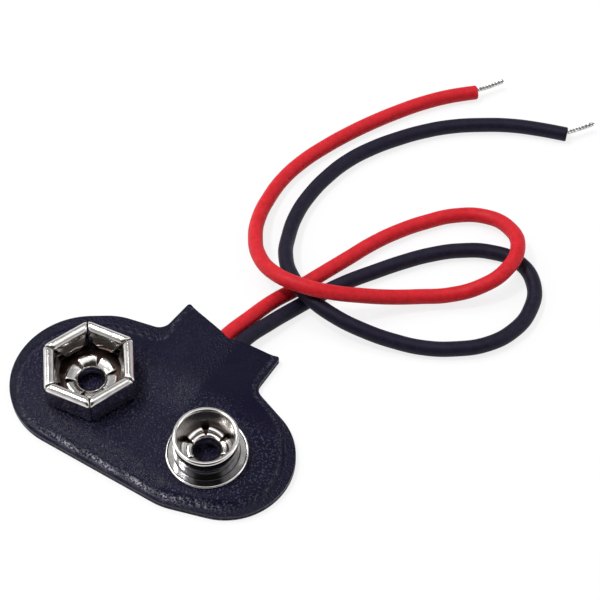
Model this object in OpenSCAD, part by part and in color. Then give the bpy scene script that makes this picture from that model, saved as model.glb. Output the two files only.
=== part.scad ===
// Snap connector for a 9 V block battery: a soft cover of two welded vinyl sheets
// with a fibre plate inside, a hexagonal socket and a round stud riveted through
// the front sheet and the plate, and two insulated leads.
// Frame: origin midway between the two snaps on the back of the cover, +X from the
// socket to the stud, +Y towards the leads, +Z up. Sizes are in millimetres.

/* [Cover] */
// Thickness of the front sheet
front_t = 0.3; // [0.25:0.05:0.5]
// Thickness of the back sheet
back_t = 0.3; // [0.25:0.05:0.5]
// Radius of the rounded end around the socket
socket_lobe_r = 6.85; // [6.5:0.05:8]
// How far the socket end's centre lies beyond the socket
socket_lobe_out = 0.65; // [0.3:0.05:1.5]
// How far the socket end's centre lies from the snaps' line, towards the leads
socket_lobe_y = 0.1; // [0:0.05:0.8]
// Radius of the rounded end around the stud
stud_lobe_r = 5.95; // [5.8:0.05:8]
// How far the stud end's centre lies beyond the stud
stud_lobe_out = 1.25; // [0.3:0.05:1.5]
// How far the stud end's centre lies from the snaps' line, towards the leads
stud_lobe_y = 1.05; // [0:0.05:1.2]
// Fuller stretch of the edge above the socket, as an arc's centre and radius
socket_bulge = [-6.4, 1.6, 6]; // [-8:0.05:8]
// Fuller stretch of the edge below the stud, as an arc's centre and radius
stud_bulge = [4.5, 0.2, 6.2]; // [-8:0.05:8]
// Height of the shoulder between the socket's end and the tab
socket_shoulder_y = 8.25; // [7.5:0.05:9]
// Height of the shoulder between the stud's end and the tab
stud_shoulder_y = 7.85; // [7.5:0.05:9]
// Width of the welded border round the edge
weld_w = 1.3; // [1:0.1:1.5]
// Depth of the pressed weld line
weld_depth = 0.12; // [0.05:0.01:0.2]
// Width of the pressed weld line
weld_line_w = 0.2; // [0.1:0.05:0.3]
// Width of the lead tab at its end
tab_w = 10.2; // [8:0.1:11]
// How much wider the tab is at its root
tab_flare = 0.5; // [0:0.1:1.5]
// Distance of the tab's ears from the snaps' line
tab_y = 11.9; // [11:0.1:13]
// Distance of the tab's middle from the middle of the snaps
tab_dx = 0.45; // [-0.5:0.05:1]
// Depth of the shallow vee in the tab's end, where the leads come out
tab_notch = 1.85; // [0.4:0.05:2]
// Radius of the waists where the tab joins the body
waist_r = 1.2; // [0.5:0.1:1.8]
// Radius of the tab's two ears
ear_r = 0.25; // [0.1:0.05:0.6]

/* [Plate] */
// Thickness of the fibre plate
plate_t = 0.3; // [0.25:0.05:0.8]
// Half width of the plate, and the radius of its ends
plate_r = 3.7; // [3.5:0.1:3.9]
// Room under the plate for the eyelet heads and the soldered ends
joint_space = 0.48; // [0.48:0.01:0.7]

/* [Snaps] */
// Distance between the axes of the two snaps
snap_pitch = 12.7; // [12.3:0.1:13.1]
// Thickness of the nickel-plated sheet
sheet_t = 0.25; // [0.15:0.05:0.3]
// Height of the socket above the cover
socket_h = 2.85; // [2.5:0.05:3.5]
// Width of the socket across the flats of its rim
socket_af = 7.88; // [7.7:0.02:8.2]
// Turn of the socket, as the angle of one flat from the snaps' line
socket_turn = 40.7; // [0:0.1:60]
// Width of each rolled lip, seen from above
lip_w = 0.95; // [0.8:0.05:1.1]
// Diameter of the circle in which the six springs grip
grip_d = 5.44; // [5.3:0.02:5.6]
// Height of the gripping land on each spring
grip_h = 0.5; // [0.3:0.05:0.7]
// Drop from the middle of the lip to the top of the gripping land
grip_drop = 0.7; // [0.6:0.05:0.9]
// Width of the mitred slits between the lips
slit_w = 0.12; // [0.08:0.02:0.3]
// Length of each spring below its gripping land
spring_toe_l = 0.7; // [0.3:0.05:0.75]
// Width of each spring at its free end
spring_end_w = 1.1; // [0.8:0.1:2.4]
// Height of the stud above the cover
stud_h = 2.9; // [2.5:0.05:3.2]
// Diameter of the stud's bead
stud_bead_d = 5.72; // [5.6:0.02:5.8]
// Height of the straight land on the bead
stud_land_h = 0.5; // [0.3:0.05:0.8]
// Diameter of the stud below the bead
stud_neck_d = 5.38; // [5.2:0.02:5.5]
// Diameter of the stud's flange
flange_d = 7.16; // [6.8:0.02:7.3]
// Radius of the bend between the stud and its flange
stud_root_r = 0.18; // [0.1:0.02:0.35]

/* [Eyelets] */
// Bore of the two rivet eyelets
eyelet_bore = 2.3; // [2:0.05:2.5]
// Diameter of the eyelet head under the plate
eyelet_head_d = 3.8; // [3.4:0.1:4.2]
// Thickness of the eyelet's sheet
eyelet_t = 0.22; // [0.15:0.01:0.25]
// Radius of the first roll of the petals, seen in section
curl_r = 0.42; // [0.36:0.02:0.44]
// Radius of the second roll, at the petals' ends
curl_end_r = 0.28; // [0.26:0.02:0.32]
// Number of petals that the rolled end splits into
petals = 6; // [5:1:8]
// Angle of the vee-shaped gap between two petals
petal_gap_angle = 44; // [20:1:50]
// Height of the rolled petals' middle above the snap's floor
petal_lift = 0.06; // [0.05:0.01:0.3]
// Turn of the socket's eyelet, as the angle of one gap from the snaps' line
socket_eyelet_turn = 48; // [0:1:60]
// Turn of the stud's eyelet, as the angle of one gap from the snaps' line
stud_eyelet_turn = 10; // [0:1:60]
// Clearance of the eyelet in its holes
eyelet_gap = 0.05; // [0.02:0.01:0.1]

/* [Leads] */
// Diameter of the insulated leads
lead_d = 1.4; // [1.2:0.05:1.5]
// Space between the two leads where they lie side by side
lead_space = 0.2; // [0.05:0.05:0.4]
// Clearance of the leads in the cover
lead_gap = 0.04; // [0.02:0.01:0.1]
// Diameter of the stripped and twisted conductor
wire_d = 0.4; // [0.3:0.02:0.4]
// Length of the bare tinned ends
tip_l = 2.9; // [1.5:0.1:6]
// How far above the lead's middle the bare end leaves the insulation
tip_rise = 0.3; // [0:0.05:0.4]
// Turns of twist in a bare end
tip_turns = 1.5; // [0.5:0.25:3]
// Diameter of each solder joint on the back sheet
solder_d = 1.5; // [1.2:0.1:2]
// Diameter of each solder joint under the plate
solder_top_d = 1.2; // [1:0.1:2]

/* [Hidden] */

// Colours of the finishes
vinyl = [0.10, 0.10, 0.14];
fibre = [0.45, 0.30, 0.20];
nickel = [0.80, 0.79, 0.76];
tinned = [0.75, 0.75, 0.74];
red_pvc = [0.78, 0.10, 0.13];
black_pvc = [0.12, 0.12, 0.17];

// The layers, from the surface that the back rests on
plate_z = back_t + joint_space;
plate_top = plate_z + plate_t;
seat_z = plate_top + front_t;
border_z = back_t + front_t;
floor_z = seat_z + sheet_t;
cut = 0.05;
outline_fn = 96;

// Where things stand in plan
socket_x = -snap_pitch / 2;
stud_x = snap_pitch / 2;
eyelet_r = eyelet_bore / 2 + eyelet_t;
hole_r = eyelet_r + eyelet_gap;

// The leads: straight in the cover, then along points chosen by hand
lead_r = lead_d / 2;
lead_z = back_t + lead_gap + lead_r;
red_x = 0.4;
black_x = red_x + lead_d + lead_space;
leads_x = (red_x + black_x) / 2;
lead_in_y = plate_r + 1.5;
red_route = [
    [red_x, lead_in_y, lead_z], [red_x, 8, lead_z], [red_x, 10.8, lead_z],
    [0.9, 13.5, 0.95], [1.5, 16.4, 0.75], [2.5, 19, 0.7], [3.4, 21.7, 0.7],
    [4.3, 24.4, 0.7], [5.2, 27.1, 0.7], [6.4, 29.7, 0.7], [7.9, 32.1, 0.7],
    [9.7, 34.3, 0.7], [12.1, 35.7, 0.9], [14.8, 35.4, 1.6], [17, 33.4, 2.3],
    [17.4, 30.5, 2.2], [16.3, 28, 1.7], [14.4, 26, 1.2], [12.2, 24.2, 1.2],
    [10.2, 22.3, 1.7], [8.3, 20.4, 2.6], [6.2, 18.6, 3.5], [3.6, 17.5, 3.8],
    [0.8, 17.5, 3.4], [-1.7, 18.7, 2.6], [-3.7, 20.8, 1.8], [-5, 23.1, 1.2],
    [-5.8, 25.8, 0.8], [-6.1, 28.6, 0.7], [-5.8, 31.5, 0.7], [-5.1, 34.2, 0.7],
    [-4.2, 36.8, 0.7], [-3.1, 39.4, 0.7], [-1.8, 42, 0.7], [-0.4, 44.4, 0.7],
    [1.3, 46.7, 0.7], [3.2, 48.7, 0.7]
];
black_route = [
    [black_x, lead_in_y, lead_z], [black_x, 8, lead_z], [black_x, 11.4, lead_z],
    [2.7, 14.2, 0.9], [3.5, 16.8, 0.7], [4.5, 19.4, 0.7], [5.7, 22, 0.7],
    [7.1, 24.4, 0.7], [8.6, 26.8, 0.7], [10.3, 29.1, 0.7], [12.3, 31.1, 0.7],
    [14.7, 32.6, 0.7], [17.4, 33.1, 0.7], [19.9, 31.7, 0.7], [21.1, 29, 0.7],
    [21, 26.2, 0.7], [19.8, 23.6, 0.7], [17.8, 21.6, 0.7], [15.5, 20.1, 0.7],
    [12.9, 19, 0.9], [10.2, 18.1, 1.4], [7.4, 17.6, 1.9], [4.7, 17.7, 2.3],
    [2, 18.7, 2.3], [-0.1, 20.6, 1.8], [-1.5, 23, 1.1], [-2.5, 25.7, 0.8],
    [-2.9, 28.5, 0.7], [-2.8, 31.3, 0.7], [-2.3, 34, 0.7], [-1.3, 36.6, 0.7],
    [0.1, 39.1, 0.7], [1.7, 41.4, 0.7], [3.6, 43.5, 0.7], [5.8, 45.3, 0.7],
    [8.2, 46.9, 0.7], [10.7, 48.1, 0.7], [13.3, 49.1, 0.7]
];
// Headings of the bare ends on the surface, in degrees from +X
red_tip_heading = 59;
black_tip_heading = 58;

function unit(v) = v / norm(v);
function last(list) = list[len(list) - 1];

// Points of a round tube along a route, one ring of sides points at each point
function tube_points(route, r, sides) =
    let (n = len(route))
    [
        for (i = [0:n - 1])
            let (
                t = unit(route[min(i + 1, n - 1)] - route[max(i - 1, 0)]),
                side = unit(cross(t, [0, 0, 1])),
                up = cross(side, t)
            )
            for (k = [0:sides - 1])
                let (a = 360 * (k + 0.5) / sides)
                route[i] + r * (cos(a) * side + sin(a) * up)
    ];

function tube_faces(n, sides) = concat(
    [[for (k = [0:sides - 1]) k]],
    [
        for (i = [0:n - 2], k = [0:sides - 1])
            let (a = i * sides + k, b = i * sides + (k + 1) % sides)
            each [[a, a + sides, b + sides], [a, b + sides, b]]
    ],
    [[for (k = [sides - 1:-1:0]) (n - 1) * sides + k]]
);

module tube(route, d, sides = 8) {
    polyhedron(tube_points(route, d / 2, sides), tube_faces(len(route), sides));
}

// The arcs that the body's edge runs round, as [x, y, radius]
body_arcs = [
    [socket_x - socket_lobe_out, socket_lobe_y, socket_lobe_r], socket_bulge,
    [stud_x + stud_lobe_out, stud_lobe_y, stud_lobe_r], stud_bulge
];

// Half the width of the tab, which narrows from its root to its end
function tab_half(y) = tab_w / 2 + tab_flare * (1 - y / tab_y);

// The body of the cover in plan: its arcs, their tangents and the shoulders at the tab
module body_outline() {
    hull() {
        for (arc = body_arcs) translate([arc[0], arc[1]]) circle(arc[2], $fn = outline_fn);
        polygon([
            [tab_dx, 0],
            [tab_dx + tab_half(stud_shoulder_y), stud_shoulder_y],
            [tab_dx - tab_half(socket_shoulder_y), socket_shoulder_y]
        ]);
    }
}

// The whole cover in plan, with waists and ears rounded; reach moves the tab's end out
module cover_outline(reach = 0) {
    root = tab_half(0);
    half = tab_half(tab_y);
    end_y = tab_y + reach;
    offset(r = ear_r, $fn = 32) offset(delta = -ear_r)
        offset(r = -waist_r, $fn = 48) offset(delta = waist_r) {
            body_outline();
            polygon([
                [tab_dx - root, 0], [tab_dx - half, end_y],
                [leads_x, end_y - tab_notch],
                [tab_dx + half, end_y], [tab_dx + root, 0]
            ]);
        }
}

// A thin slab with the body's arcs, drawn in from its edge
module body_slab(inset, z) {
    for (arc = body_arcs)
        translate([arc[0], arc[1], z]) cylinder(r = arc[2] - inset, h = cut, $fn = 48);
}

// A thin slab that follows the plate
module plate_slab(grow, z) {
    for (x = [socket_x, stud_x])
        translate([x, 0, z]) cylinder(r = plate_r + grow, h = cut, $fn = 48);
}

// The raised middle of the front sheet, stretched from the weld over the plate
module pocket_outside() {
    shoulder = 0.3;
    hull() {
        body_slab(weld_w, border_z - cut);
        plate_slab(front_t + shoulder / 2, seat_z - shoulder * front_t);
        plate_slab(front_t - shoulder / 2, seat_z - cut);
    }
}

module pocket_inside() {
    hull() {
        body_slab(weld_w + front_t, back_t - cut);
        plate_slab(cut, plate_top - cut);
    }
}

// The arch over the two leads, from the middle of the cover to the tab's end, with
// skirts stretched straight down to the welded sides of the tab
module lead_arch(wall, reach) {
    r = lead_r + lead_gap + wall;
    ramp_y = 0.5;
    skirt_y = socket_shoulder_y;
    skirt_w = 2 * (tab_half(tab_y) - weld_w - front_t + wall);
    hull() {
        translate([tab_dx - skirt_w / 2, skirt_y, back_t + wall - cut])
            cube([skirt_w, tab_y + reach - skirt_y, cut]);
        for (x = [red_x, black_x])
            translate([x, lead_in_y - wall, lead_z])
                rotate([-90, 0, 0]) cylinder(r = r, h = tab_y + reach - lead_in_y + wall, $fn = 32);
        translate([leads_x, ramp_y, plate_top - lead_r + wall])
            sphere(lead_r, $fn = 32);
    }
}

module back_cover() {
    color(vinyl) linear_extrude(back_t) cover_outline();
}

module front_cover() {
    line_out = weld_w - weld_line_w - cut;
    color(vinyl) difference() {
        union() {
            translate([0, 0, back_t]) linear_extrude(front_t) cover_outline();
            pocket_outside();
            intersection() {
                translate([0, 0, back_t]) linear_extrude(lead_z + lead_d) cover_outline();
                lead_arch(front_t, 0);
            }
        }
        pocket_inside();
        lead_arch(0, cut);
        for (x = [socket_x, stud_x])
            translate([x, 0, back_t]) cylinder(r = hole_r, h = seat_z, $fn = 48);
        difference() {
            translate([0, 0, border_z - weld_depth]) linear_extrude(weld_depth + cut) difference() {
                offset(delta = -line_out) cover_outline(waist_r);
                offset(delta = -line_out - weld_line_w) cover_outline(waist_r);
            }
            lead_arch(front_t, cut);
        }
    }
}

module fibre_plate() {
    color(fibre) translate([0, 0, plate_z]) linear_extrude(plate_t) difference() {
        union() {
            for (x = [socket_x, stud_x]) translate([x, 0]) circle(plate_r, $fn = outline_fn);
            square([snap_pitch, 2 * plate_r], center = true);
        }
        for (x = [socket_x, stud_x]) translate([x, 0]) circle(hole_r, $fn = 48);
    }
}

// One side of the socket in section, as [distance from the axis, height] along the
// middle of the sheet: foot, outer wall, rolled lip, then the spring down inside. The
// springs are reamed to the grip's diameter, which takes off the ream's depth
lip_r = lip_w / 2 - sheet_t / 2;
wall_x = socket_af / 2 - sheet_t / 2;
lip_x = wall_x - lip_r;
lip_z = socket_h - lip_w / 2;
ream = 0.02;
grip_x = grip_d / 2 + sheet_t / 2 - ream;
grip_top = lip_z - grip_drop;
grip_low = grip_top - grip_h;
spring_bow = 0.04;
spring_toe = [0.15, -spring_toe_l];
toe_z = grip_low - spring_toe_l;
foot_x = lip_x - sheet_t;
socket_path = concat(
    [[foot_x, sheet_t / 2]],
    [for (a = [-90:30:0]) [lip_x + lip_r * cos(a), sheet_t / 2 + lip_r + lip_r * sin(a)]],
    [for (a = [0:22.5:180]) [lip_x + lip_r * cos(a), lip_z + lip_r * sin(a)]],
    [
        [(lip_x - lip_r + grip_x) / 2 + spring_bow, (lip_z + grip_top) / 2],
        [grip_x, grip_top], [grip_x, grip_low], [grip_x, grip_low] + spring_toe
    ]
);
// How round the section is there in plan, from 0 for a flat side to 1 for a circle
socket_round = concat([for (i = [0:11]) 0], [0.1, 0.25], [0.65, 1, 1, 1]);

// Points across one side of the socket, on one face of its sheet
function socket_row(i, face, across) =
    let (
        p = socket_path,
        n = len(p),
        t = unit(p[min(i + 1, n - 1)] - p[max(i - 1, 0)]),
        q = p[i] + face * sheet_t / 2 * [t[1], -t[0]],
        b = socket_round[i],
        half = q[0] * tan(30) - slit_w / 2 / cos(30),
        taper = b > 0 ? max(lip_z - q[1], 0) / (lip_z - toe_z) : 0,
        full = 30 - asin(slit_w / 2 / q[0]),
        swing = full + taper * (asin(spring_end_w / 2 / q[0]) - full),
        flat = half + taper * (spring_end_w / 2 - half)
    )
    [
        for (k = [0:across])
            let (
                u = 2 * k / across - 1,
                x = (1 - b) * q[0] + b * q[0] * cos(u * swing),
                y = (1 - b) * u * flat + b * q[0] * sin(u * swing)
            )
            [x, y, q[1]]
    ];

module socket_side(across = 6) {
    n = len(socket_path);
    w = across + 1;
    m = n * w;
    points = concat(
        [for (i = [0:n - 1]) each socket_row(i, 1, across)],
        [for (i = [0:n - 1]) each socket_row(i, -1, across)]
    );
    faces = concat(
        [for (i = [0:n - 2], k = [0:across - 1])
            let (a = i * w + k) each [[a, a + w, a + w + 1], [a, a + w + 1, a + 1]]],
        [for (i = [0:n - 2], k = [0:across - 1])
            let (a = m + i * w + k) each [[a, a + w + 1, a + w], [a, a + 1, a + w + 1]]],
        [for (i = [0:n - 2])
            let (a = i * w) each [[a, m + a, m + a + w], [a, m + a + w, a + w]]],
        [for (i = [0:n - 2])
            let (a = i * w + across) each [[a, m + a + w, m + a], [a, a + w, m + a + w]]],
        [for (k = [0:across - 1]) each [[k, k + 1, m + k + 1], [k, m + k + 1, m + k]]],
        [for (k = [0:across - 1])
            let (a = (n - 1) * w + k) each [[a, m + a + 1, a + 1], [a, m + a, m + a + 1]]]
    );
    polyhedron(points, faces);
}

// Hexagonal socket, pressed from one sheet: six sides rise from the floor, roll over
// at the rim and come down inside as springs
module socket_snap() {
    color(nickel) translate([socket_x, 0, seat_z]) rotate(socket_turn) difference() {
        union() {
            cylinder(r = foot_x + sheet_t, h = sheet_t, $fn = 64);
            for (i = [0:5]) rotate(60 * i) socket_side();
        }
        translate([0, 0, -cut]) cylinder(r = hole_r, h = sheet_t + 2 * cut, $fn = 48);
        translate([0, 0, 2 * sheet_t]) cylinder(d = grip_d, h = socket_h, $fn = 64);
    }
}

// Round stud, drawn from one sheet: floor, neck, beaded rim and a flange
module stud_section() {
    neck_r = stud_neck_d / 2;
    bead_r = stud_bead_d / 2;
    in_r = neck_r - sheet_t;
    rim_r = (bead_r - in_r) / 2;
    land_top = stud_h - rim_r;
    land_low = land_top - stud_land_h;
    taper_h = 0.3;
    flange_r = flange_d / 2;
    edge_r = sheet_t / 2;
    groove_r = 0.08;
    difference() {
        union() {
            translate([hole_r, 0]) square([flange_r - edge_r - hole_r, sheet_t]);
            translate([flange_r - edge_r, edge_r]) circle(edge_r, $fn = 32);
            translate([in_r, 0]) square([sheet_t, land_low]);
            translate([in_r, land_low]) square([bead_r - in_r, stud_land_h]);
            translate([bead_r - rim_r, land_top]) circle(rim_r, $fn = 32);
            polygon([
                [in_r, land_low - taper_h], [neck_r, land_low - taper_h],
                [bead_r, land_low], [in_r, land_low]
            ]);
            difference() {
                translate([neck_r, sheet_t]) square(stud_root_r);
                translate([neck_r + stud_root_r, sheet_t + stud_root_r]) circle(stud_root_r, $fn = 48);
            }
        }
        translate([flange_r - 3 * edge_r, sheet_t]) circle(groove_r, $fn = 24);
    }
}

module stud_snap() {
    color(nickel) translate([stud_x, 0, seat_z])
        rotate_extrude($fn = 96) stud_section();
}

// Tubular rivet in section: head under the plate, barrel, and the end rolled outwards
// in two ridges
module eyelet_section() {
    bore_r = eyelet_bore / 2;
    roll_x = bore_r + curl_r;
    end_x = roll_x + curl_r - eyelet_t + curl_end_r;
    roll_z = floor_z + petal_lift;
    translate([bore_r, plate_z - eyelet_t]) square([eyelet_head_d / 2 - bore_r, eyelet_t]);
    translate([bore_r, plate_z - eyelet_t]) square([eyelet_t, roll_z - plate_z + eyelet_t]);
    eyelet_roll(roll_x, roll_z, curl_r);
    eyelet_roll(end_x, roll_z, curl_end_r);
    translate([end_x + curl_end_r - eyelet_t, floor_z]) square([eyelet_t, roll_z - floor_z]);
}

// One roll of the petals in section, the upper half of a ring
module eyelet_roll(x, z, r) {
    translate([x, z]) intersection() {
        difference() {
            circle(r, $fn = 32);
            circle(r - eyelet_t, $fn = 32);
        }
        translate([-r, 0]) square([2 * r, r]);
    }
}

// The rolled end is torn into petals by vee-shaped gaps
module eyelet(x, turn) {
    gap_x = eyelet_r - cut;
    gap_len = 2 * (curl_r + curl_end_r);
    gap_half = gap_len * tan(petal_gap_angle / 2);
    color(nickel) translate([x, 0, 0]) difference() {
        rotate_extrude($fn = 96) eyelet_section();
        for (i = [0:petals - 1])
            rotate(turn + 360 * i / petals) translate([gap_x, 0, floor_z - cut])
                linear_extrude(2 * curl_r)
                    polygon([[0, 0], [gap_len, gap_half], [gap_len, -gap_half]]);
    }
}

module socket_eyelet() {
    eyelet(socket_x, socket_eyelet_turn);
}

module stud_eyelet() {
    eyelet(stud_x, stud_eyelet_turn);
}

module red_lead() {
    color(red_pvc) tube(red_route, lead_d);
}

module black_lead() {
    color(black_pvc) tube(black_route, lead_d);
}

// Seven strands twisted together, each thickened by the solder so that they join, cut
// square on the end of the insulation
module bare_tip(route, heading) {
    solder_swell = 1.15;
    strand_d = wire_d / 3 * solder_swell;
    end = last(route);
    run = end - route[len(route) - 2];
    lead_heading = atan2(run[1], run[0]);
    back = wire_d;
    color(tinned) translate(end) difference() {
        translate([0, 0, tip_rise]) rotate([0, 90, heading]) translate([0, 0, -back])
            linear_extrude(tip_l + back, twist = 360 * tip_turns, slices = 12) {
                circle(d = strand_d, $fn = 6);
                for (i = [0:5]) rotate(60 * i) translate([wire_d / 3, 0]) circle(d = strand_d, $fn = 6);
            }
        rotate(lead_heading) translate([-lead_d, 0, 0]) cube(2 * lead_d, center = true);
    }
}

module red_tip() {
    bare_tip(red_route, red_tip_heading);
}

module black_tip() {
    bare_tip(black_route, black_tip_heading);
}

// Where a soldered end meets the rim of an eyelet's head: towards the leads
function joint_at(x, from_x) =
    let (d = unit([from_x - x, plate_r]))
    [x + d[0] * eyelet_head_d / 2, d[1] * eyelet_head_d / 2, 0];

// The stripped end runs down under the plate and across to its eyelet
function tail_route(x, from_x) =
    let (
        low = back_t + joint_space / 2,
        start = [from_x, lead_in_y, lead_z],
        dive = [from_x, plate_r + wire_d, low],
        end = joint_at(x, from_x) + [0, 0, low],
        out = unit(dive - end)
    )
    [start, start - [0, wire_d, 0], dive, end + out * wire_d];

module tail(x, from_x) {
    color(tinned) tube(tail_route(x, from_x), wire_d);
}

module red_tail() {
    tail(socket_x, red_x);
}

module black_tail() {
    tail(stud_x, black_x);
}

// Solder wets the head's rim and holds the end of the stripped wire
module solder(x, from_x) {
    route = tail_route(x, from_x);
    end = last(route);
    run = route[len(route) - 2] - end;
    color(tinned) difference() {
        translate(joint_at(x, from_x) + [0, 0, back_t])
            cylinder(d1 = solder_d, d2 = solder_top_d, h = joint_space, $fn = 32);
        translate([x, 0, plate_z - eyelet_t]) cylinder(d = eyelet_head_d, h = joint_space, $fn = 96);
        translate(end) rotate([0, 90, atan2(run[1], run[0])]) cylinder(d = wire_d, h = solder_d, $fn = 32);
    }
}

module red_solder() {
    solder(socket_x, red_x);
}

module black_solder() {
    solder(stud_x, black_x);
}

back_cover();
front_cover();
fibre_plate();
socket_snap();
stud_snap();
socket_eyelet();
stud_eyelet();
red_lead();
black_lead();
red_tip();
black_tip();
red_tail();
black_tail();
red_solder();
black_solder();
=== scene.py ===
# Snap connector for a 9 V block battery, in the order in which it is put together.
import math
import random

import bmesh
import bpy
from mathutils import Matrix, Vector, kdtree, noise


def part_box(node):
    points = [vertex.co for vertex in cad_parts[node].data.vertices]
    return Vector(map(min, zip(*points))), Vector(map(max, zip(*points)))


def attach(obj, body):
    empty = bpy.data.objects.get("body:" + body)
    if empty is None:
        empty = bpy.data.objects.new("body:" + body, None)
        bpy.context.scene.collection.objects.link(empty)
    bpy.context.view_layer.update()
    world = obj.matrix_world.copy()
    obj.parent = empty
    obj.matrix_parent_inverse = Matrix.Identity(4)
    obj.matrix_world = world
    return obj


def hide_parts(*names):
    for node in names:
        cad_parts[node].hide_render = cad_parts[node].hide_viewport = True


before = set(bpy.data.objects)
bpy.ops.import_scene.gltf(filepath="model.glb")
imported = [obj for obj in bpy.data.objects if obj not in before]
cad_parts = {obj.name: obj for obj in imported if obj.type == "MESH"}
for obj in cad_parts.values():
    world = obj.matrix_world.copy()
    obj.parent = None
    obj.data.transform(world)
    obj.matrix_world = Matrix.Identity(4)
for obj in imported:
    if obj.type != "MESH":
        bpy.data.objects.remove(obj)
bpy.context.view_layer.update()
mm = 0.001


# Back sheet: plain vinyl, die-cut to the T-shaped outline of the cover. It lies flat
# on the table, and the front sheet is welded to its border.
back_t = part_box("back_cover")[1].z
cut_edge_r = 0.06 * mm


def die_cut_outline():
    """The outline of both sheets as one flat face, level with the back sheet's top."""
    bm = bmesh.new()
    bm.from_mesh(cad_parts["back_cover"].data)
    bmesh.ops.remove_doubles(bm, verts=bm.verts, dist=0.001 * mm)
    not_top = [f for f in bm.faces if f.normal.z < 0.9]
    bmesh.ops.delete(bm, geom=not_top, context="FACES")
    bmesh.ops.dissolve_faces(bm, faces=bm.faces)
    return bm


def round_cut_edges(bm, radius):
    """Rounds the sharp edges that the die leaves round a sheet."""
    sharp = [e for e in bm.edges if e.is_manifold and e.calc_face_angle() > math.radians(60)]
    bmesh.ops.bevel(bm, geom=sharp, offset=radius, segments=2, profile=0.5,
                    affect="EDGES", material=-1)


def add_piece(bm, name, material, slot, *nodes):
    """Makes the finished mesh a smooth piece that stands for its nodes."""
    mesh = bpy.data.meshes.new(name)
    bm.to_mesh(mesh)
    bm.free()
    mesh.shade_smooth()
    mesh.set_sharp_from_angle(angle=math.radians(42))
    piece = bpy.data.objects.new(name, mesh)
    bpy.context.scene.collection.objects.link(piece)
    mesh.materials.append(material)
    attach(piece, "root")
    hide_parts(*nodes)
    return piece


def new_material(name, roughness, metallic=0.0, specular=0.5):
    """A material with its plain numbers set, and its nodes to hand."""
    material = bpy.data.materials.new(name)
    material.use_nodes = True
    shader = material.node_tree.nodes["Principled BSDF"]
    shader.inputs["Roughness"].default_value = roughness
    shader.inputs["Metallic"].default_value = metallic
    shader.inputs["Specular IOR Level"].default_value = specular
    return material, shader


def wire_up(material):
    """Short ways to add a node and to join two sockets."""
    tree = material.node_tree

    def add(kind, **settings):
        node = tree.nodes.new("ShaderNode" + kind)
        for key, value in settings.items():
            if key in node.inputs:
                node.inputs[key].default_value = value
            else:
                setattr(node, key, value)
        return node

    return add, tree.links.new


def mottle(material, shader, size, dark, light):
    """Lets the colour drift between two tones in patches of about that size."""
    add, join = wire_up(material)
    place = add("TexCoord")
    cloud = add("TexNoise", Scale=1 / size, Detail=3.0, Roughness=0.6)
    tones = add("ValToRGB")
    tones.color_ramp.elements[0].position = 0.35
    tones.color_ramp.elements[1].position = 0.68
    tones.color_ramp.elements[0].color = (*dark, 1)
    tones.color_ramp.elements[1].color = (*light, 1)
    join(place.outputs["Object"], cloud.inputs["Vector"])
    join(cloud.outputs["Fac"], tones.inputs["Fac"])
    join(tones.outputs["Color"], shader.inputs["Base Color"])
    return cloud


def remap(add, start=0.0, end=1.0, low=0.0, high=1.0, kind="SMOOTHSTEP"):
    """A node that turns the values from start to end into those from low to high."""
    node = add("MapRange", interpolation_type=kind)
    node.inputs["From Min"].default_value = start
    node.inputs["From Max"].default_value = end
    node.inputs["To Min"].default_value = low
    node.inputs["To Max"].default_value = high
    return node


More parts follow.
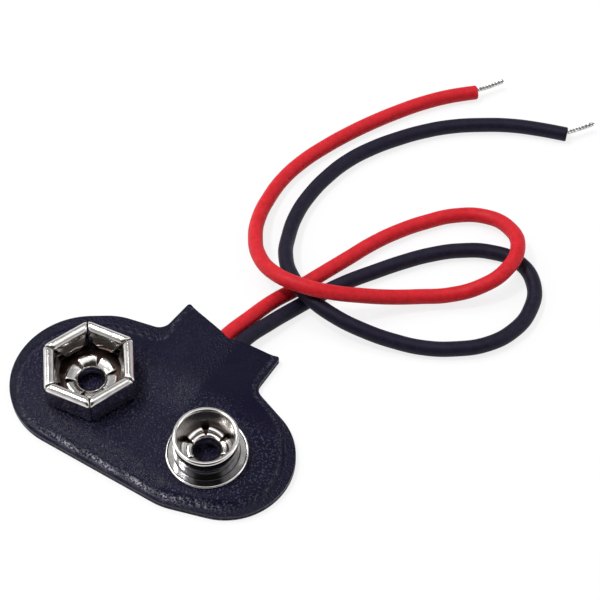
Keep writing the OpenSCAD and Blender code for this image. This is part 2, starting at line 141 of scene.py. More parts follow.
def vinyl(name, pebble, depth):
    """Navy-black vinyl with a pebble grain, flattened where it is pressed, with painted glints on its
    paler crowns, painted shade in its darker hollows, and pale painted glint flecks along the weld.
    """
    material, shader = new_material(name, roughness=0.3, specular=0.11)
    mottle(material, shader, 2.4 * mm, (0.0034, 0.0026, 0.0140), (0.0056, 0.0046, 0.0195))
    tones = shader.inputs["Base Color"].links[0].from_socket
    add, join = wire_up(material)
    place = add("TexCoord").outputs["Object"]

    wander = add("TexNoise", Scale=0.7 / pebble, Detail=1.0)
    shift = add("VectorMath", operation="MULTIPLY_ADD")
    shift.inputs[1].default_value = (0.5 * pebble,) * 3
    cells = add("TexVoronoi", feature="SMOOTH_F1", Scale=1 / pebble, Smoothness=0.35)
    domes = remap(add, start=0.62, end=0.12)
    fine = add("TexNoise", Scale=3.2 / pebble, Detail=2.0)
    grain = add("MixRGB", Fac=0.22)
    join(place, wander.inputs["Vector"])
    join(wander.outputs["Color"], shift.inputs[0])
    join(place, shift.inputs[2])
    join(shift.outputs["Vector"], cells.inputs["Vector"])
    join(cells.outputs["Distance"], domes.inputs["Value"])
    join(place, fine.inputs["Vector"])
    join(domes.outputs["Result"], grain.inputs["Color1"])
    join(fine.outputs["Fac"], grain.inputs["Color2"])

    pressed = add("Attribute", attribute_name="pressed")
    left = add("Math", operation="SUBTRACT")
    left.inputs[0].default_value = 1.0
    height = add("Math", operation="MULTIPLY")
    bump = add("Bump", Strength=1.0, Distance=depth)
    gloss = remap(add, low=0.36, high=0.19, kind="LINEAR")
    join(pressed.outputs["Fac"], left.inputs[1])
    join(grain.outputs["Color"], height.inputs[0])
    join(left.outputs["Value"], height.inputs[1])
    join(height.outputs["Value"], bump.inputs["Height"])
    join(bump.outputs["Normal"], shader.inputs["Normal"])
    join(grain.outputs["Color"], gloss.inputs["Value"])
    join(gloss.outputs["Result"], shader.inputs["Roughness"])

    # Painted glints and painted shade: the crowns of the grain are mixed towards a paler tone, while
    # its hollows keep the darker one.
    glint_crests = remap(add, start=0.42, end=0.8)
    painted_crown_glint = add("MixRGB", Color2=(0.046, 0.043, 0.082, 1))
    join(height.outputs["Value"], glint_crests.inputs["Value"])
    join(glint_crests.outputs["Result"], painted_crown_glint.inputs["Fac"])
    join(tones, painted_crown_glint.inputs["Color1"])

    # Painted glints: pale flecks are mixed in where the vertex attribute below is set, along the
    # weld.
    painted_glint = add("Attribute", attribute_name="painted_glint")
    glint_flecks = add("TexNoise", Scale=1 / (0.16 * mm), Detail=2.0)
    picked = remap(add, start=0.42, end=0.62)
    glint_amount = add("Math", operation="MULTIPLY")
    painted_glint_tone = add("MixRGB", Color2=(0.50, 0.49, 0.55, 1))
    join(place, glint_flecks.inputs["Vector"])
    join(glint_flecks.outputs["Fac"], picked.inputs["Value"])
    join(picked.outputs["Result"], glint_amount.inputs[0])
    join(painted_glint.outputs["Fac"], glint_amount.inputs[1])
    join(glint_amount.outputs["Value"], painted_glint_tone.inputs["Fac"])
    join(painted_crown_glint.outputs["Color"], painted_glint_tone.inputs["Color1"])
    join(painted_glint_tone.outputs["Color"], shader.inputs["Base Color"])
    return material


grained_vinyl = vinyl("grained_vinyl", pebble=0.22 * mm, depth=0.075 * mm)

sheet = die_cut_outline()
cut_area = sum(f.calc_area() for f in sheet.faces)
bmesh.ops.solidify(sheet, geom=sheet.faces, thickness=back_t)
bmesh.ops.recalc_face_normals(sheet, faces=sheet.faces)
round_cut_edges(sheet, cut_edge_r)
back_sheet = add_piece(sheet, "back_sheet", grained_vinyl, "vinyl", "back_cover")


# Fibre plate: punched from hard brown fibre, it stiffens the cover and carries both
# snaps. The welded sheets hide it.
fibre, fibre_shader = new_material("hard_fibre", roughness=0.75)
mottle(fibre, fibre_shader, 0.4 * mm, (0.09, 0.040, 0.018), (0.17, 0.085, 0.040))


def paint(node, material):
    """Gives its material to a solid that is shown as it comes from the CAD."""
    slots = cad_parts[node].data.materials
    slots.clear()
    slots.append(material)


paint("fibre_plate", fibre)


# Leads: stranded copper in soft PVC, one red and one black. They lie side by side
# between the two sheets, leave at the tab's vee and lie loose in a loop on the table.
lead_r = 0.7 * mm
cut_l = 0.1 * mm
cut_share = 0.88
red_route = [
    (0.4, 5.2, 1.04), (0.4, 8, 1.04), (0.4, 10.8, 1.04), (0.9, 13.5, 0.95),
    (1.5, 16.4, 0.75), (2.5, 19, 0.7), (3.4, 21.7, 0.7), (4.3, 24.4, 0.7),
    (5.2, 27.1, 0.7), (6.4, 29.7, 0.7), (7.9, 32.1, 0.7), (9.7, 34.3, 0.7),
    (12.1, 35.7, 0.9), (14.8, 35.4, 1.6), (17, 33.4, 2.3), (17.4, 30.5, 2.2),
    (16.3, 28, 1.7), (14.4, 26, 1.2), (12.2, 24.2, 1.2), (10.2, 22.3, 1.7),
    (8.3, 20.4, 2.6), (6.2, 18.6, 3.5), (3.6, 17.5, 3.8), (0.8, 17.5, 3.4),
    (-1.7, 18.7, 2.6), (-3.7, 20.8, 1.8), (-5, 23.1, 1.2), (-5.8, 25.8, 0.8),
    (-6.1, 28.6, 0.7), (-5.8, 31.5, 0.7), (-5.1, 34.2, 0.7), (-4.2, 36.8, 0.7),
    (-3.1, 39.4, 0.7), (-1.8, 42, 0.7), (-0.4, 44.4, 0.7), (1.3, 46.7, 0.7),
    (3.2, 48.7, 0.7),
]
black_route = [
    (2, 5.2, 1.04), (2, 8, 1.04), (2, 11.4, 1.04), (2.7, 14.2, 0.9),
    (3.5, 16.8, 0.7), (4.5, 19.4, 0.7), (5.7, 22, 0.7), (7.1, 24.4, 0.7),
    (8.6, 26.8, 0.7), (10.3, 29.1, 0.7), (12.3, 31.1, 0.7), (14.7, 32.6, 0.7),
    (17.4, 33.1, 0.7), (19.9, 31.7, 0.7), (21.1, 29, 0.7), (21, 26.2, 0.7),
    (19.8, 23.6, 0.7), (17.8, 21.6, 0.7), (15.5, 20.1, 0.7), (12.9, 19, 0.9),
    (10.2, 18.1, 1.4), (7.4, 17.6, 1.9), (4.7, 17.7, 2.3), (2, 18.7, 2.3),
    (-0.1, 20.6, 1.8), (-1.5, 23, 1.1), (-2.5, 25.7, 0.8), (-2.9, 28.5, 0.7),
    (-2.8, 31.3, 0.7), (-2.3, 34, 0.7), (-1.3, 36.6, 0.7), (0.1, 39.1, 0.7),
    (1.7, 41.4, 0.7), (3.6, 43.5, 0.7), (5.8, 45.3, 0.7), (8.2, 46.9, 0.7),
    (10.7, 48.1, 0.7), (13.3, 49.1, 0.7),
]


def insulation(name, dark, light):
    """Soft PVC with a dull gloss and a faint unevenness from the extruder."""
    material, shader = new_material(name, roughness=0.5, specular=0.15)
    cloud = mottle(material, shader, 0.55 * mm, dark, light)
    add, join = wire_up(material)
    bump = add("Bump", Strength=0.35, Distance=0.02 * mm)
    join(cloud.outputs["Fac"], bump.inputs["Height"])
    join(bump.outputs["Normal"], shader.inputs["Normal"])
    return material


def add_lead(name, route, material, node):
    """A round lead along its route, cut off square with a slightly broken edge."""
    points = [Vector(p) * mm for p in route]
    points.insert(-1, points[-1] + (points[-2] - points[-1]).normalized() * cut_l)
    curve = bpy.data.curves.new(name, "CURVE")
    curve.dimensions = "3D"
    curve.bevel_depth = lead_r
    curve.bevel_resolution = 7
    curve.resolution_u = 8
    curve.use_fill_caps = True
    spline = curve.splines.new("BEZIER")
    spline.bezier_points.add(len(points) - 1)
    for knot, place in zip(spline.bezier_points, points):
        knot.co = place
        knot.handle_left_type = knot.handle_right_type = "AUTO"
    spline.bezier_points[-1].radius = cut_share
    curve.materials.append(material)
    piece = bpy.data.objects.new(name, curve)
    bpy.context.scene.collection.objects.link(piece)
    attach(piece, "root")
    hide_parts(node)
    return piece


red_pvc = insulation("red_insulation", (0.50, 0.011, 0.018), (0.62, 0.016, 0.026))
black_pvc = insulation("black_insulation", (0.0080, 0.0062, 0.0165), (0.0130, 0.0105, 0.0260))
red_wire = add_lead("red_wire", red_route, red_pvc, "red_lead")
black_wire = add_lead("black_wire", black_route, black_pvc, "black_lead")


# Bare ends: seven tinned strands, twisted and dipped in solder, bent a little out of
# the line of the insulation. The inner ends are soldered to the rivets' heads.
strand_r = 0.075 * mm
strand_ring = 0.135 * mm
tip_l = 2.9 * mm
tip_root = 0.5 * mm
tip_rise = 0.3 * mm
tip_bow = 0.09 * mm
tip_fray = 0.12
tip_turns = 1.6
tip_steps = 40
strand_count = 7

tin, tin_shader = new_material("tinned_copper", roughness=0.24, metallic=1.0)
mottle(tin, tin_shader, 0.3 * mm, (0.50, 0.49, 0.48), (0.80, 0.79, 0.77))


def add_bare_end(name, route, heading, node, seed):
    """Twisted strands that start inside the insulation and run out along a heading."""
    draw = random.Random(seed)
    bm = bmesh.new()
    for i in range(strand_count):
        out = strand_ring if i else 0.0
        spoke = Matrix.Rotation(i * math.pi / 3, 4, "Z") @ Matrix.Translation((out, 0, -tip_root))
        ring = bmesh.ops.create_circle(bm, cap_ends=False, segments=8, radius=strand_r, matrix=spoke)
        edges = list({e for v in ring["verts"] for e in v.link_edges})
        length = tip_l + tip_root - draw.uniform(0, 0.16) * mm
        bmesh.ops.spin(bm, geom=ring["verts"] + edges, cent=(0, 0, 0), axis=(0, 0, 1),
                       dvec=(0, 0, length / tip_steps), angle=tip_turns * math.tau, steps=tip_steps)
    rim = [e for e in bm.edges if e.is_boundary]
    bmesh.ops.holes_fill(bm, edges=rim, sides=0)
    bmesh.ops.recalc_face_normals(bm, faces=bm.faces)
    for v in bm.verts:
        run = max(v.co.z, 0) / tip_l
        v.co.xy *= 1 + tip_fray * run ** 4
        v.co.x += tip_bow * math.sin(run * math.pi)
    lay = Matrix.Rotation(math.radians(heading), 4, "Z") @ Matrix.Rotation(math.pi / 2, 4, "Y")
    root = Vector(route[-1]) * mm + Vector((0, 0, tip_rise))
    bmesh.ops.transform(bm, matrix=Matrix.Translation(root) @ lay, verts=bm.verts)
    return add_piece(bm, name, tin, "tin", node)


red_strands = add_bare_end("red_strands", red_route, 59, "red_tip", seed=3)
black_strands = add_bare_end("black_strands", black_route, 58, "black_tip", seed=5)

for inner in ("red_tail", "black_tail", "red_solder", "black_solder"):
    paint(inner, tin)


# Front sheet: vinyl with a pebble grain, drawn over the fibre plate and the leads and
# welded to the back sheet along a pressed line just inside the cut edge.
front_t = 0.3 * mm
border_top = back_t + front_t
seat_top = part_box("stud_snap")[0].z
plate_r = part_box("fibre_plate")[1].y
plate_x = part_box("fibre_plate")[1].x - plate_r
plate_edge_w = 0.2 * mm
snap_clear = 3.9 * mm
snap_fade = 1.2 * mm
rivet_hole = 1.7 * mm

weld_side_w = 1.2 * mm
weld_low_w = 0.45 * mm
weld_tab_w = 0.28 * mm
groove_h = 0.09 * mm
groove_w = 0.07 * mm
puff_h = 0.5 * mm
puff_w = 0.28 * mm
slack_h = 0.05 * mm
slack_w = 1.5 * mm
slack_scale = 240
fold_r = 0.35 * mm

leads_from = red_route[0][0] * mm
leads_to = black_route[0][0] * mm
lead_axis_z = red_route[0][2] * mm
arch_r = lead_r + 0.04 * mm + front_t
tab_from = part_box("back_cover")[1].y - 2.4 * mm
tab_mid = 0.45 * mm
tab_half = 4.8 * mm

# Each change along the sheet has the place where it starts and the run that it takes.
weld_widens = (-6.0 * mm, 10 * mm)
weld_narrows_at_stud = (4.0 * mm, 3.0 * mm)
weld_narrows_at_socket = (7.2 * mm, 2.2 * mm)
puff_ends = (4.5 * mm, 3.0 * mm)
tent_starts = (-1.2 * mm, 6.5 * mm)
groove_ends = (7.0 * mm, 2.0 * mm)
stretch_starts = (3.5 * mm, 3.0 * mm)
ironed_ends = (0.0, 0.3 * mm)
# The painted glint flecks along the weld are strongest at the lower edge and weaker towards the
# socket's end.
glint_starts_below = (2.5 * mm, 3.5 * mm)
glint_starts_beside = (-10 * mm, 6 * mm)

stretched_flat = 0.6
ironed_flat = 0.75
# The painted glint line: its distance past the weld, its width, and its least strength away from the
# lower edge.
glint_line = 0.15 * mm
glint_w = 0.1 * mm
glint_least = 0.12

outline_step = 0.4 * mm
walk_step = 0.08 * mm
ring_count = 36
ring_w = 0.045 * mm
grid = 0.25 * mm


def ease(value, start, run):
    """Rises softly from 0 to 1 while the value goes from the start over the run."""
    t = min(max((value - start) / run, 0.0), 1.0)
    return t * t * (3 - 2 * t)


def soft_max(a, b, round_off):
    """The higher of two surfaces, with the corner between them rounded."""
    gap = max(round_off - abs(a - b), 0.0) / round_off
    return max(a, b) + gap * gap * round_off / 4


def tent_top(x, within):
    """Height of the sheet over the leads, stretched straight down to the weld beside them."""
    side = max(leads_from - x, x - leads_to, 0.0)
    reach = max(side + within, arch_r)
    drop = lead_axis_z - border_top
    lean = math.acos(arch_r / math.hypot(reach, drop)) - math.atan2(drop, reach)
    touch = arch_r * math.cos(lean)
    if side < touch:
        return lead_axis_z + math.sqrt(arch_r ** 2 - side ** 2)
    crown = lead_axis_z + arch_r * math.sin(lean)
    return border_top + (crown - border_top) * within / (reach - touch)


def weld_at(x, y):
    """Distance of the weld line from the edge, which is less at the lower edge and the tab."""
    width = weld_low_w + (weld_side_w - weld_low_w) * ease(y, *weld_widens)
    narrow = ease(y, *(weld_narrows_at_stud if x > 0 else weld_narrows_at_socket))
    return width + narrow * (weld_tab_w - width)


def sheet_top(x, y, edge):
    """Height of the front sheet's face at a place that lies so far from the cut edge."""
    past_weld = edge - weld_at(x, y)
    within = max(past_weld, 0.0)
    beyond = max(math.hypot(max(abs(x) - plate_x, 0.0), y) - plate_r, 0.0)
    puff = puff_h * (1 - math.exp(-within / puff_w)) * (1 - ease(y, *puff_ends))
    climb = ease(within, 0.0, within + beyond + plate_edge_w)
    pocket = border_top + puff + (seat_top - border_top - puff) * climb
    tent = border_top + (tent_top(x, within) - border_top) * ease(y, *tent_starts)
    top = soft_max(pocket, tent, fold_r)
    slack = noise.noise(Vector((x, y, 0)) * slack_scale) * slack_h
    slack *= ease(past_weld, 0.0, slack_w)
    groove = groove_h * math.exp(-(past_weld / groove_w) ** 2)
    top += slack - groove * (1 - ease(y, *groove_ends))
    for snap_x in (-plate_x, plate_x):
        near = 1 - ease(math.hypot(x - snap_x, y), snap_clear, snap_fade)
        top += (seat_top - top) * near
    return top


sheet = die_cut_outline()
for edge in sheet.edges[:]:
    cuts = int(edge.calc_length() / outline_step)
    if cuts:
        bmesh.ops.subdivide_edges(sheet, edges=[edge], cuts=cuts)
blank = sheet.faces[:]
outline = [v.co.copy() for v in blank[0].verts]
walk = []
for start, end in zip(outline, outline[1:] + outline[:1]):
    pieces = max(int((end - start).length / walk_step), 1)
    walk += [start.lerp(end, i / pieces) for i in range(pieces)]
walk = [p for p in walk if p.y < tab_from or abs(p.x - tab_mid) > tab_half]
rim_tree = kdtree.KDTree(len(walk))
for i, place in enumerate(walk):
    rim_tree.insert(place, i)
rim_tree.balance()

for i in range(ring_count):
    bmesh.ops.inset_region(sheet, faces=blank, thickness=ring_w, use_even_offset=True)
blank[0].material_index = 1
low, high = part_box("front_cover")
for axis in (0, 1):
    across = Vector((1 - axis, axis, 0))
    for i in range(1, int((high[axis] - low[axis]) / grid)):
        faces = [f for f in sheet.faces if f.material_index == 1]
        edges = list({e for f in faces for e in f.edges})
        verts = list({v for f in faces for v in f.verts})
        bmesh.ops.bisect_plane(sheet, geom=verts + edges + faces, dist=0.001 * mm,
                               plane_co=across * (low[axis] + i * grid), plane_no=across)

pressed = sheet.verts.layers.float.new("pressed")
painted_glint = sheet.verts.layers.float.new("painted_glint")
edge_of = {v: rim_tree.find(v.co)[2] for v in sheet.verts}
for v in sheet.verts:
    x, y = v.co.xy
    past_weld = edge_of[v] - weld_at(x, y)
    ironed = ironed_flat * (1 - ease(past_weld, *ironed_ends))
    v[pressed] = max(ironed, stretched_flat * ease(y, *stretch_starts))
    # Painted glints: pale flecks along a line just past the weld, strongest near the lower edge.
    glint_amount = ease(-y, *glint_starts_below) * ease(x, *glint_starts_beside)
    v[painted_glint] = math.exp(-((past_weld - glint_line) / glint_w) ** 2)
    v[painted_glint] *= glint_least + (1 - glint_least) * glint_amount
    v.co.z = sheet_top(x, y, edge_of[v])
holes = []
for f in sheet.faces:
    f.material_index = 0
    centre = f.calc_center_median()
    if math.hypot(abs(centre.x) - plate_x, centre.y) < rivet_hole:
        holes.append(f)
bmesh.ops.delete(sheet, geom=holes, context="FACES")
sheet.normal_update()
bmesh.ops.solidify(sheet, geom=sheet.faces, thickness=front_t)
front_sheet = add_piece(sheet, "front_sheet", grained_vinyl, "vinyl", "front_cover")


# Hexagonal socket: pressed from one nickel-plated sheet. Six sides stand up from the
# floor, roll over at the rim and come down inside as springs that grip the stud.
def nickel(name, roughness):
    """Bright nickel plating with rubbing marks, with a brown-dark painted shade in its recesses and a
    dark painted reflection where set.
    """
    material, shader = new_material(name, roughness, metallic=1.0)
    mottle(material, shader, 0.9 * mm, (0.64, 0.61, 0.585), (0.80, 0.775, 0.75))
    tones = shader.inputs["Base Color"].links[0].from_socket
    add, join = wire_up(material)
    place = add("TexCoord")

    # Painted shade: this attribute mixes a brown-dark tone into the recesses where shade falls, and
    # also makes them rougher.
    painted_recess_shade = add("Attribute", attribute_name="painted_recess_shade")
    # Painted reflection: this attribute mixes in a dark tone for the dark vinyl that the stud's outer
    # wall reflects.
    painted_wall_reflection = add("Attribute", attribute_name="painted_wall_reflection")
    recess_shade_tone = add("MixRGB", Color2=(0.052, 0.033, 0.027, 1))
    wall_reflection_tone = add("MixRGB", Color2=(0.08, 0.08, 0.09, 1))
    join(painted_recess_shade.outputs["Fac"], recess_shade_tone.inputs["Fac"])
    join(tones, recess_shade_tone.inputs["Color1"])
    join(painted_wall_reflection.outputs["Fac"], wall_reflection_tone.inputs["Fac"])
    join(recess_shade_tone.outputs["Color"], wall_reflection_tone.inputs["Color1"])
    join(wall_reflection_tone.outputs["Color"], shader.inputs["Base Color"])

    cloud = add("TexNoise", Scale=1 / (0.5 * mm), Detail=4.0)
    rub = remap(add, low=roughness * 0.6, high=roughness * 1.5, kind="LINEAR")
    dull = add("Math", operation="MULTIPLY_ADD")
    dull.inputs[1].default_value = 0.22
    bump = add("Bump", Strength=0.25, Distance=0.02 * mm)
    join(place.outputs["Object"], cloud.inputs["Vector"])
    join(cloud.outputs["Fac"], rub.inputs["Value"])
    join(painted_recess_shade.outputs["Fac"], dull.inputs[0])
    join(rub.outputs["Result"], dull.inputs[2])
    join(dull.outputs["Value"], shader.inputs["Roughness"])
    join(cloud.outputs["Fac"], bump.inputs["Height"])
    join(bump.outputs["Normal"], shader.inputs["Normal"])
    return material


def arc(x, z, r, start, end, steps):
    """Points of an arc in section, as distances from the axis and heights."""
    turns = [math.radians(start + (end - start) * i / steps) for i in range(steps + 1)]
    return [Vector((x + r * math.cos(a), 0, z + r * math.sin(a))) for a in turns]


def section(bm, points, closed=False):
    """Draws a section as a line of edges, and returns its geometry for a spin."""
    verts = [bm.verts.new(p) for p in points]
    pairs = list(zip(verts, verts[1:] + verts[:1] if closed else verts[1:]))
    return verts + [bm.edges.new(pair) for pair in pairs]


nickel_plate = nickel("nickel_plate", roughness=0.12)
socket_x = -plate_x
socket_turn = math.radians(40.7)
sixth_turn = math.pi / 3
plate_t = 0.25 * mm
socket_af = 7.88 * mm
lip_w = 0.95 * mm
lip_r = (lip_w - plate_t) / 2
wall_x = (socket_af - plate_t) / 2
lip_x = wall_x - lip_r
lip_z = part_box("socket_snap")[1].z - seat_top - lip_w / 2 + 0.1 * mm
grip_x = 2.83 * mm
grip_z = lip_z - 0.7 * mm
grip_h = 0.5 * mm
throat_x = grip_x + 0.17 * mm
toe_x = grip_x + 0.15 * mm
toe_z = grip_z - 1.2 * mm
curl_in = Vector((0.05 * mm, 0, 0.02 * mm))
curl_r = lip_r * 0.96
slit = 0.1 * mm
spring_end = 1.1 * mm
bend_from = lip_z + 0.15 * mm
bend_run = 0.85 * mm
floor_hole = 1.45 * mm
side_steps = 10
# How strong the painted shade under the lip is, how fast it grows, and how far it eases off on the
# tongues below the grip.
recess_shade_most = 0.8
recess_shade_run = 0.3 * mm
lighter_tongue_most = 0.9
lighter_tongue_run = 0.5 * mm

side = bmesh.new()
path = [Vector((lip_x - plate_t, 0, plate_t / 2))]
path += arc(lip_x, plate_t / 2 + lip_r, lip_r, -90, 0, 4)
path += arc(lip_x, lip_z, lip_r, 0, 95, 6)
path += [p - curl_in for p in arc(lip_x, lip_z, curl_r, 105, 180, 5)]
path += [Vector((throat_x, 0, (lip_z + grip_z) / 2))]
path += [Vector((grip_x, 0, grip_z))]
path += [Vector((grip_x, 0, grip_z - grip_h))]
path += [Vector((toe_x, 0, toe_z))]
for p in path:
    p.y = -1
bmesh.ops.spin(side, geom=section(side, path), cent=(0, 0, 0), axis=(0, 0, 1),
               dvec=(0, 2 / side_steps, 0), angle=0, steps=side_steps)
for v in side.verts:
    x, u, z = v.co
    inside = x < lip_x and z > plate_t
    bend = ease(bend_from - z, 0.0, bend_run) if inside else 0.0
    taper = max(lip_z - z, 0.0) / (lip_z - toe_z) if inside else 0.0
    half = x * math.tan(sixth_turn / 2) - slit / 2
    half += taper * (spring_end / 2 - half)
    swing = u * math.atan2(half, x)
    v.co.x = x + bend * x * (math.cos(swing) - 1)
    v.co.y = (1 - bend) * u * half + bend * x * math.sin(swing)
draw = random.Random(11)
sides = bmesh.new()
one_side = bpy.data.meshes.new("one_side")
side.to_mesh(one_side)
side.free()
for i in range(6):
    before = set(sides.verts)
    sides.from_mesh(one_side)
    fresh = [v for v in sides.verts if v not in before]
    lean = draw.uniform(-0.9, 0.9)
    lift = draw.uniform(-0.05, 0.02) * mm
    for v in fresh:
        v.co.z += lift * ease(v.co.z, 0.0, lip_z)
    pivot = Matrix.Translation((wall_x, 0, 0))
    tilt = pivot @ Matrix.Rotation(math.radians(lean), 4, "Y") @ pivot.inverted()
    bmesh.ops.transform(sides, matrix=Matrix.Rotation(i * sixth_turn, 4, "Z") @ tilt, verts=fresh)
floor_line = [Vector((floor_hole, 0, plate_t / 2)), Vector((lip_x - plate_t * 0.9, 0, plate_t / 2))]
bmesh.ops.spin(sides, geom=section(sides, floor_line), cent=(0, 0, 0), axis=(0, 0, 1),
               angle=math.tau, steps=60, use_merge=True)
bpy.data.meshes.remove(one_side)
seat = Matrix.Translation((socket_x, 0, seat_top)) @ Matrix.Rotation(socket_turn, 4, "Z")
# Painted shade: the floor and the springs under the rolled lip get a brown-dark tone where shade
# falls, easing off on the tongues below the grip.
painted_recess_shade = sides.verts.layers.float.new("painted_recess_shade")
for v in sides.verts:
    if v.co.z < plate_t:
        v[painted_recess_shade] = 1.0
    elif v.co.xy.length < lip_x - lip_r * 0.6:
        lighter_tongue = lighter_tongue_most * ease(grip_z - v.co.z, 0.0, lighter_tongue_run)
        v[painted_recess_shade] = recess_shade_most * ease(lip_z - v.co.z, 0.0, recess_shade_run) * (1 - lighter_tongue)
bmesh.ops.transform(sides, matrix=seat, verts=sides.verts)
bmesh.ops.recalc_face_normals(sides, faces=sides.faces)
hex_socket = add_piece(sides, "hex_socket", nickel_plate, "nickel", "socket_snap")


def thicken(piece, thickness):
    """Gives a pressed sheet its thickness and rounds its edges."""
    wall = piece.modifiers.new("wall", "SOLIDIFY")
    wall.thickness = thickness
    wall.offset = 0
    rounding = piece.modifiers.new("rounding", "SUBSURF")
    rounding.levels = rounding.render_levels = 2


thicken(hex_socket, plate_t)


# Round stud: drawn from one nickel-plated sheet into a cup with a beaded rim. Its flange
# has a pressed ring and clamps the front sheet to the plate.
stud_x = plate_x
stud_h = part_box("stud_snap")[1].z - seat_top
flange_r = (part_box("stud_snap")[1].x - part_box("stud_snap")[0].x) / 2
bead_r = 2.86 * mm
neck_r = 2.82 * mm
cup_r = 2.44 * mm
rim_r = (bead_r - cup_r) / 2
land_top = stud_h - rim_r
land_low = land_top - 0.5 * mm
neck_z = land_low - 0.5 * mm
root_r = 0.06 * mm
trough_z = 0.18 * mm
ring_r = 0.13 * mm
floor_r = 2.2 * mm
corner_r = 0.2 * mm
past_root = 1.5 * root_r

stud_line = [Vector((floor_hole, 0, plate_t))]
stud_line += arc(floor_r - corner_r, plate_t + corner_r, corner_r, -90, 0, 6)
stud_line += arc(cup_r + rim_r, land_top, rim_r, 180, 0, 14)
stud_line += [Vector((bead_r, 0, land_top - 0.15 * mm)), Vector((bead_r, 0, land_low))]
stud_line += [Vector((neck_r, 0, neck_z)), Vector((neck_r, 0, neck_z - 0.06 * mm))]
stud_line += [Vector((neck_r, 0, trough_z + past_root))]
stud_line += arc(neck_r + root_r, trough_z + root_r, root_r, 180, 270, 5)
stud_line += [Vector((neck_r + past_root, 0, trough_z))]
stud_line += [Vector((flange_r - 2.15 * ring_r, 0, trough_z))]
stud_line += arc(flange_r - ring_r, ring_r, ring_r, 157, -90, 16)
stud_line += [Vector((floor_hole, 0, 0))]
cup = bmesh.new()
bmesh.ops.spin(cup, geom=section(cup, stud_line, closed=True), cent=(0, 0, 0), axis=(0, 0, 1),
               angle=math.tau, steps=120, use_merge=True)
bmesh.ops.recalc_face_normals(cup, faces=cup.faces)
painted_recess_shade = cup.verts.layers.float.new("painted_recess_shade")
painted_wall_reflection = cup.verts.layers.float.new("painted_wall_reflection")
for v in cup.verts:
    out = v.co.xy.length
    # Painted shade inside the cup, growing darker below the rim.
    if out < cup_r + 0.02 * mm:
        v[painted_recess_shade] = ease(land_top + 0.1 * mm - v.co.z, 0.0, 0.25 * mm)
    # Painted reflection: the outer wall below the bead is darkened for the dark vinyl that it
    # reflects.
    elif out < neck_r + 1.2 * root_r and v.co.z < land_top - 0.1 * mm:
        v[painted_wall_reflection] = 1.0
bmesh.ops.transform(cup, matrix=Matrix.Translation((stud_x, 0, seat_top)), verts=cup.verts)
add_piece(cup, "round_stud", nickel_plate, "nickel", "stud_snap")


# Rivets: nickel-plated eyelets that hold each snap through the sheet and the plate. The
# setting tool splits the upper end into six petals and bends them outwards.
eyelet_t = 0.2 * mm
barrel_r = 1.26 * mm
head_r = 1.85 * mm
head_in = barrel_r + 0.2 * mm
head_bend_r = 0.12 * mm
mouth_h = 0.25 * mm
split_from = 0.06 * mm
petal_half = 0.5 * mm
petal_steps = 8


def add_rivet(name, node, x, turn, mouth_z, petal_line, split_angle, seed):
    """An eyelet with a flat head below and six petals bent outwards from its mouth."""
    draw = random.Random(seed)
    head_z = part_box(node)[0].z + eyelet_t / 2
    line = [Vector((head_r, 0, head_z)), Vector((head_in, 0, head_z))]
    line += arc(barrel_r + head_bend_r, head_z + head_bend_r, head_bend_r, 240, 180, 2)
    line += [Vector((barrel_r, 0, mouth_z - mouth_h))]
    line += [p + Vector((barrel_r, 0, mouth_z)) for p in petal_line]
    petal = bmesh.new()
    start = Matrix.Rotation(-sixth_turn / 2, 3, "Z")
    bmesh.ops.spin(petal, geom=section(petal, [start @ p for p in line]), cent=(0, 0, 0),
                   axis=(0, 0, 1), angle=sixth_turn, steps=petal_steps)
    for v in petal.verts:
        out = v.co.xy.length
        in_petal = v.co.z > mouth_z - 0.8 * mouth_h
        split = max(out - barrel_r - split_from, 0.0) if in_petal else 0.0
        gap = math.asin(split * math.tan(math.radians(split_angle)) / out)
        angle = math.atan2(v.co.y, v.co.x) * (1 - 2 * gap / sixth_turn)
        v.co.xy = Vector((math.cos(angle), math.sin(angle))) * out
    one_petal = bpy.data.meshes.new("one_petal")
    petal.to_mesh(one_petal)
    petal.free()
    bm = bmesh.new()
    for i in range(6):
        before = set(bm.verts)
        bm.from_mesh(one_petal)
        fresh = [v for v in bm.verts if v not in before]
        droop = draw.uniform(-0.16, 0.1)
        twist = draw.uniform(-0.1, 0.1)
        for v in fresh:
            out = v.co.xy.length - barrel_r
            if v.co.z > mouth_z and out > 0:
                v.co.z += droop * out + twist * v.co.y * out / petal_half
        bmesh.ops.transform(bm, matrix=Matrix.Rotation(i * sixth_turn, 4, "Z"), verts=fresh)
    bpy.data.meshes.remove(one_petal)
    bmesh.ops.remove_doubles(bm, verts=bm.verts, dist=0.004 * mm)
    bmesh.ops.recalc_face_normals(bm, faces=bm.faces)
    place = Matrix.Translation((x, 0, 0)) @ Matrix.Rotation(turn + sixth_turn / 2, 4, "Z")
    bmesh.ops.transform(bm, matrix=place, verts=bm.verts)
    thicken(add_piece(bm, name, nickel_plate, "nickel", node), eyelet_t)


creased = [Vector((out * mm, 0, up * mm)) for out, up in (
    (0, 0), (0.03, 0.1), (0.12, 0.17), (0.27, 0.2), (0.40, 0.18), (0.46, 0.17), (0.55, 0.24),
    (0.7, 0.3), (0.85, 0.32), (0.97, 0.29), (1.02, 0.22))]
flared = [Vector((out * mm, 0, up * mm)) for out, up in (
    (0, 0), (0.03, 0.09), (0.1, 0.17), (0.24, 0.27), (0.44, 0.37),
    (0.64, 0.45), (0.82, 0.49), (0.96, 0.46), (1.02, 0.38))]
add_rivet("socket_rivet", "socket_eyelet", socket_x, turn=math.radians(48),
          mouth_z=seat_top + 0.1 * mm, petal_line=flared, split_angle=13, seed=21)
add_rivet("stud_rivet", "stud_eyelet", stud_x, turn=math.radians(10),
          mouth_z=seat_top + 0.42 * mm, petal_line=creased, split_angle=20, seed=22)


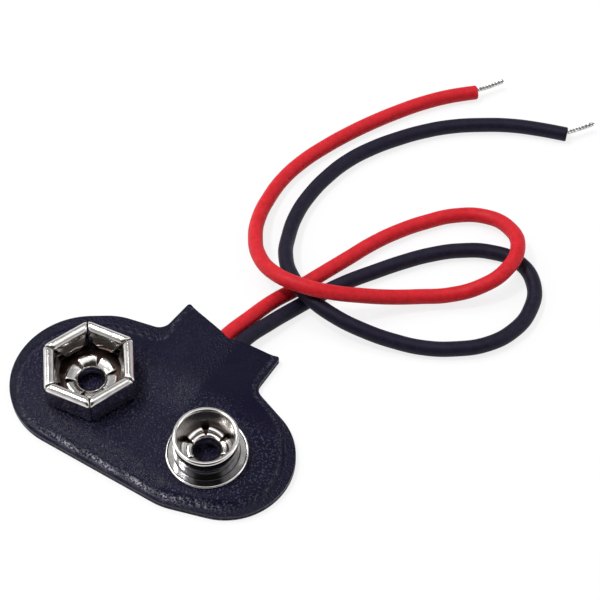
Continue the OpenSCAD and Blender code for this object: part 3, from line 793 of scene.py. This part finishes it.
# Table, light and camera: a white table top in a light tent, with a small key light and
# softer lights above, behind and on both sides. The camera looks down from the front right.
view_target = Vector((3.10, 18.346, 0)) * mm
view_azimuth = math.radians(35.223)
view_elevation = math.radians(55.024)
view_distance = 158.04 * mm
light_target = (0, 0.01, 0)
# Openings in the tent: turn from the camera's side, height and half width in degrees, then
# the light beside the opening and in it.
tent_openings = ((0, 38, 34, 0.7, 0.03), (180, 45, 26, 1.0, 0.6))
opening_rim = 10


def heading(azimuth, elevation):
    """The direction from the part to a place at that azimuth and elevation."""
    level = math.cos(elevation)
    return Vector((math.sin(azimuth) * level, -math.cos(azimuth) * level, math.sin(elevation)))


white, white_shader = new_material("white_table", roughness=0.9, specular=0.0)
white_shader.inputs["Base Color"].default_value = (0.9, 0.9, 0.9, 1)
add, join = wire_up(white)
rays = add("LightPath")
seen = add("Math", operation="MAXIMUM")
seen_through = add("Math", operation="MAXIMUM")
glow = add("Emission", Strength=1.0)
backdrop = add("MixShader")
dimmed = add("Math", operation="MULTIPLY")
dimmed.inputs[1].default_value = 0.8
join(rays.outputs["Is Camera Ray"], seen.inputs[0])
join(rays.outputs["Is Glossy Ray"], seen.inputs[1])
join(seen.outputs["Value"], seen_through.inputs[0])
join(rays.outputs["Is Transmission Ray"], seen_through.inputs[1])
join(seen_through.outputs["Value"], dimmed.inputs[0])
join(dimmed.outputs["Value"], backdrop.inputs["Fac"])
join(white_shader.outputs["BSDF"], backdrop.inputs[1])
join(glow.outputs["Emission"], backdrop.inputs[2])
join(backdrop.outputs["Shader"], white.node_tree.nodes["Material Output"].inputs["Surface"])

top = bmesh.new()
bmesh.ops.create_grid(top, x_segments=1, y_segments=1, size=3.0)
bmesh.ops.translate(top, vec=(0, 0, -0.02 * mm), verts=top.verts)
table_mesh = bpy.data.meshes.new("table_top")
top.to_mesh(table_mesh)
top.free()
table_mesh.materials.append(white)
table_top = bpy.data.objects.new("table_top", table_mesh)
bpy.context.scene.collection.objects.link(table_top)

world = bpy.data.worlds.new("studio")
bpy.context.scene.world = world
world.use_nodes = True
sky = world.node_tree.nodes["Background"]
sky.inputs["Color"].default_value = (0.97, 0.98, 1.0, 1)
add, join = wire_up(world)
gaze = add("TexCoord")
tent = add("Math", operation="MULTIPLY")
join(tent.outputs["Value"], sky.inputs["Strength"])
for i, (turn, height, wide, bright, dark) in enumerate(tent_openings):
    towards = add("VectorMath", operation="DOT_PRODUCT")
    towards.inputs[1].default_value = heading(view_azimuth + math.radians(turn), math.radians(height))
    opening = remap(add, start=math.cos(math.radians(wide + opening_rim)),
                    end=math.cos(math.radians(wide)), low=bright, high=dark)
    join(gaze.outputs["Generated"], towards.inputs[0])
    join(towards.outputs["Value"], opening.inputs["Value"])
    join(opening.outputs["Result"], tent.inputs[i])


def add_softbox(name, place, width, length, watts):
    """A rectangular soft light that points at the cover."""
    lamp = bpy.data.lights.new(name, "AREA")
    lamp.shape = "RECTANGLE"
    lamp.size, lamp.size_y = width, length
    lamp.energy = watts
    box = bpy.data.objects.new(name, lamp)
    bpy.context.scene.collection.objects.link(box)
    box.location = place
    box.rotation_euler = (Vector(light_target) - Vector(place)).to_track_quat("-Z", "Y").to_euler()


add_softbox("key", (-0.16, -0.07, 0.42), width=0.06, length=0.06, watts=0.9)
add_softbox("overhead", (0.02, 0.06, 0.42), width=0.28, length=0.28, watts=0.2)
add_softbox("back", (-0.21, 0.096, 0.40), width=0.08, length=0.08, watts=0.35)
add_softbox("left", (-0.36, -0.12, 0.22), width=0.20, length=0.30, watts=0.34)
add_softbox("right", (0.36, 0.24, 0.22), width=0.20, length=0.30, watts=0.28)

lens = bpy.data.cameras.new("camera")
lens.lens = 103.49
lens.sensor_width = 36
lens.clip_start = 0.01
lens.clip_end = 10
camera = bpy.data.objects.new("camera", lens)
bpy.context.scene.collection.objects.link(camera)
to_camera = heading(view_azimuth, view_elevation)
camera.location = view_target + to_camera * view_distance
camera.rotation_euler = (-to_camera).to_track_quat("-Z", "Y").to_euler()
bpy.context.scene.camera = camera
bpy.context.scene.view_settings.view_transform = "Standard"
